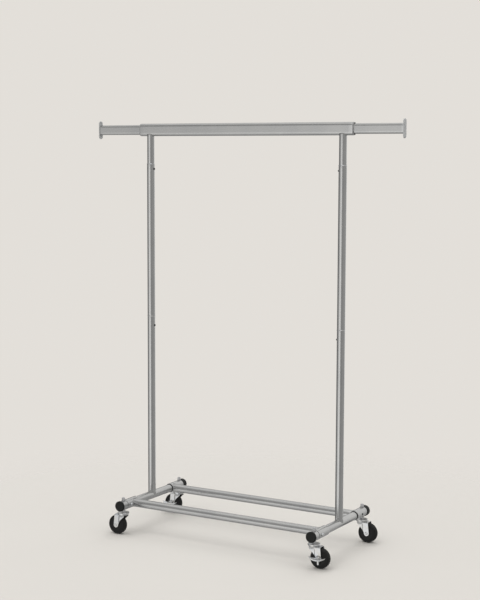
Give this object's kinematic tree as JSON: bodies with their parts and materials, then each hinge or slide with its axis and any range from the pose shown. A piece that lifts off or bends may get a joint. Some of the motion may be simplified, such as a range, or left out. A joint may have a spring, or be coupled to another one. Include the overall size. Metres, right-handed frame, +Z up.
{
  "type": "rolling clothes rack",
  "caption": "Garment rack on swivel casters: tubular steel base, two plug-together uprights and a flat-sided hanging rail that pulls out at both ends.",
  "frame": {"origin": "on the floor, midway between the two uprights and midway between the front and rear end caps", "axes": "+X along the hanging rail, +Y from the front of the base to its back, +Z up"},
  "size_m": [1.32, 0.4665, 1.6],
  "materials": {
    "satin_chrome": "satin chrome plate on steel tube",
    "bright_zinc": "bright zinc plate on pressed steel",
    "nut_steel": "zinc-plated nuts, blackened lock nuts",
    "dark_steel": "blackened steel",
    "spring_steel": "tempered strip",
    "black_plastic": "moulded black plastic",
    "black_wheel": "solid black wheel",
    "grey_plastic": "moulded grey plastic",
    "pale_plastic": "milky light grey plastic"
  },
  "bodies": {
    "frame": {"left_cross_tube": "satin_chrome", "front_left_sleeve": "satin_chrome", "front_left_cap": "black_plastic", "front_left_crown": "bright_zinc", "rear_left_sleeve": "satin_chrome", "rear_left_cap": "black_plastic", "rear_left_crown": "bright_zinc", "left_lower_post": "satin_chrome", "left_middle_post": "satin_chrome", "left_rail_stub": "satin_chrome", "left_rail_bushing": "grey_plastic", "right_cross_tube": "satin_chrome", "front_right_sleeve": "satin_chrome", "front_right_cap": "black_plastic", "front_right_crown": "bright_zinc", "rear_right_sleeve": "satin_chrome", "rear_right_cap": "black_plastic", "rear_right_crown": "bright_zinc", "right_lower_post": "satin_chrome", "right_middle_post": "satin_chrome", "right_rail_stub": "satin_chrome", "right_rail_bushing": "grey_plastic", "front_rail": "satin_chrome", "rear_rail": "satin_chrome", "hanging_rail": "satin_chrome", "front_collars": "satin_chrome", "sleeve_liners": "black_plastic", "sleeve_rivets": "dark_steel", "snap_springs": "spring_steel", "lock_springs": "spring_steel", "caster_stems": "bright_zinc", "stem_nuts": "nut_steel", "caster_balls": "bright_zinc"},
    "left_bar": {"left_pull_bar": "satin_chrome", "left_bar_glide": "grey_plastic", "left_end_plate": "pale_plastic"},
    "left_lower_snap_button": {"left_lower_snap_button": "dark_steel"},
    "left_upper_snap_button": {"left_upper_snap_button": "dark_steel"},
    "left_lock_button": {"left_lock_button": "bright_zinc"},
    "right_bar": {"right_pull_bar": "satin_chrome", "right_bar_glide": "grey_plastic", "right_end_plate": "pale_plastic"},
    "right_lower_snap_button": {"right_lower_snap_button": "dark_steel"},
    "right_upper_snap_button": {"right_upper_snap_button": "dark_steel"},
    "right_lock_button": {"right_lock_button": "bright_zinc"},
    "front_left_swivel": {"front_left_fork": "bright_zinc", "front_left_axle": "bright_zinc"},
    "front_left_wheel": {"front_left_wheel": "black_wheel"},
    "front_right_swivel": {"front_right_fork": "bright_zinc", "front_right_axle": "bright_zinc"},
    "front_right_wheel": {"front_right_wheel": "black_wheel"},
    "front_right_brake": {"front_right_brake_lever": "bright_zinc"},
    "rear_left_swivel": {"rear_left_fork": "bright_zinc", "rear_left_axle": "bright_zinc"},
    "rear_left_wheel": {"rear_left_wheel": "black_wheel"},
    "rear_left_brake": {"rear_left_brake_lever": "bright_zinc"},
    "rear_right_swivel": {"rear_right_fork": "bright_zinc", "rear_right_axle": "bright_zinc"},
    "rear_right_wheel": {"rear_right_wheel": "black_wheel"}
  },
  "joints": [
    {"name": "left_bar_slide", "type": "slide", "parent": "frame", "child": "left_bar", "axis": [-1, 0, 0], "range_m": [-0.1917, 0]},
    {"name": "left_lower_snap_button_press", "type": "slide", "parent": "frame", "child": "left_lower_snap_button", "axis": [1, 0, 0], "range_m": [-0.0054, 0], "stiffness_N_per_m": 1500, "springref_m": 0.002},
    {"name": "left_upper_snap_button_press", "type": "slide", "parent": "frame", "child": "left_upper_snap_button", "axis": [1, 0, 0], "range_m": [-0.0054, 0], "stiffness_N_per_m": 1500, "springref_m": 0.002},
    {"name": "left_lock_button_press", "type": "slide", "parent": "frame", "child": "left_lock_button", "axis": [1, 0, 0], "range_m": [-0.004, 0], "stiffness_N_per_m": 1500, "springref_m": 0.002},
    {"name": "right_bar_slide", "type": "slide", "parent": "frame", "child": "right_bar", "axis": [1, 0, 0], "range_m": [-0.1917, 0]},
    {"name": "right_lower_snap_button_press", "type": "slide", "parent": "frame", "child": "right_lower_snap_button", "axis": [-1, 0, 0], "range_m": [-0.0054, 0], "stiffness_N_per_m": 1500, "springref_m": 0.002},
    {"name": "right_upper_snap_button_press", "type": "slide", "parent": "frame", "child": "right_upper_snap_button", "axis": [-1, 0, 0], "range_m": [-0.0054, 0], "stiffness_N_per_m": 1500, "springref_m": 0.002},
    {"name": "right_lock_button_press", "type": "slide", "parent": "frame", "child": "right_lock_button", "axis": [1, 0, 0], "range_m": [-0.004, 0], "stiffness_N_per_m": 1500, "springref_m": 0.002},
    {"name": "front_left_swivel_turn", "type": "hinge", "parent": "frame", "child": "front_left_swivel", "pos_m": [-0.4175, -0.197, 0.08], "axis": [0, 0, 1], "continuous": true},
    {"name": "front_left_wheel_roll", "type": "hinge", "parent": "front_left_swivel", "child": "front_left_wheel", "pos_m": [-0.4435, -0.197, 0.0375], "axis": [0, 1, 0], "continuous": true},
    {"name": "front_right_swivel_turn", "type": "hinge", "parent": "frame", "child": "front_right_swivel", "pos_m": [0.4175, -0.197, 0.08], "axis": [0, 0, 1], "continuous": true},
    {"name": "front_right_wheel_roll", "type": "hinge", "parent": "front_right_swivel", "child": "front_right_wheel", "pos_m": [0.4435, -0.197, 0.0375], "axis": [0, 1, 0], "continuous": true},
    {"name": "front_right_brake_press", "type": "hinge", "parent": "front_right_swivel", "child": "front_right_brake", "pos_m": [0.4435, -0.2196, 0.045], "axis": [1, 0, 0], "range_deg": [0, 10]},
    {"name": "rear_left_swivel_turn", "type": "hinge", "parent": "frame", "child": "rear_left_swivel", "pos_m": [-0.4175, 0.197, 0.08], "axis": [0, 0, 1], "continuous": true},
    {"name": "rear_left_wheel_roll", "type": "hinge", "parent": "rear_left_swivel", "child": "rear_left_wheel", "pos_m": [-0.4435, 0.197, 0.0375], "axis": [0, 1, 0], "continuous": true},
    {"name": "rear_left_brake_press", "type": "hinge", "parent": "rear_left_swivel", "child": "rear_left_brake", "pos_m": [-0.4435, 0.1744, 0.045], "axis": [1, 0, 0], "range_deg": [0, 10]},
    {"name": "rear_right_swivel_turn", "type": "hinge", "parent": "frame", "child": "rear_right_swivel", "pos_m": [0.4175, 0.197, 0.08], "axis": [0, 0, 1], "continuous": true},
    {"name": "rear_right_wheel_roll", "type": "hinge", "parent": "rear_right_swivel", "child": "rear_right_wheel", "pos_m": [0.4435, 0.197, 0.0375], "axis": [0, 1, 0], "continuous": true}
  ]
}
